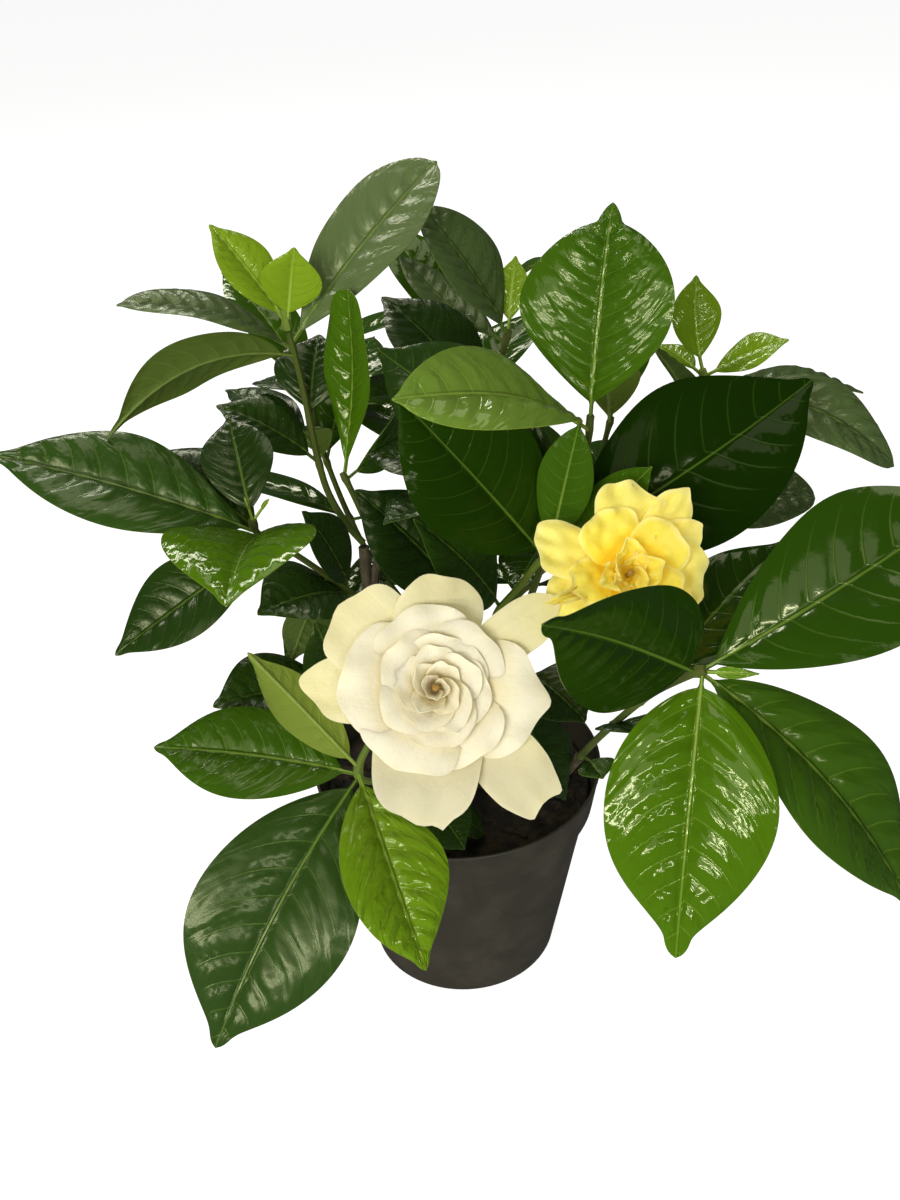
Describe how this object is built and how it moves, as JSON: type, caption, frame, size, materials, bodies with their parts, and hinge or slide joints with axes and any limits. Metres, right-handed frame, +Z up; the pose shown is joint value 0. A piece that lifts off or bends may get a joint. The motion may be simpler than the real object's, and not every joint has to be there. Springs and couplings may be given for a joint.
{
  "type": "potted gardenia",
  "caption": "Young gardenia shrub in a round tapered nursery pot, with glossy leaves in opposite pairs, a fully open white double bloom and an older one that has turned yellow.",
  "frame": {"origin": "middle of the pot's underside, on the plane that the pot stands on", "axes": "+Z up along the pot's axis, -Y towards the front that the picture shows, +X to the right as seen from the front"},
  "size_m": [0.3193, 0.2887, 0.3297],
  "materials": {
    "pot_plastic": "satin, thin dark moulded plastic",
    "potting_soil": "rough, dark bark and peat mix",
    "woody_stem": "matt, grey-brown young bark",
    "leaf": "glossy, waxy leaf with sunken veins",
    "young_leaf": "glossy, soft bright new leaf",
    "white_petal": "soft, thick creamy petal",
    "yellow_petal": "soft, ageing butter yellow petal",
    "bloom_centre": "matt, yellow-brown style and anthers"
  },
  "bodies": {
    "root": {"pot": "pot_plastic", "soil": "potting_soil", "woody_stem_left": "woody_stem", "woody_stem_front": "woody_stem", "woody_stem_middle": "woody_stem", "woody_stem_right": "woody_stem", "woody_stem_back_right": "woody_stem", "woody_stem_back": "woody_stem", "shoot_left_tall": "leaf", "shoot_left_curled": "leaf", "shoot_left_low": "leaf", "shoot_left_inner": "leaf", "shoot_centre": "leaf", "shoot_yellow_bloom": "leaf", "shoot_centre_tall": "leaf", "shoot_right_front": "leaf", "shoot_right_back": "leaf", "shoot_white_bloom": "leaf", "shoot_under_bloom": "leaf", "young_tip_left": "young_leaf", "young_tip_right": "young_leaf", "shoot_back_left": "leaf", "shoot_back_middle": "leaf", "shoot_back_right": "leaf", "white_bloom_petals": "white_petal", "white_bloom_centre": "bloom_centre", "yellow_bloom_petals": "yellow_petal", "yellow_bloom_centre": "bloom_centre"}
  },
  "joints": []
}
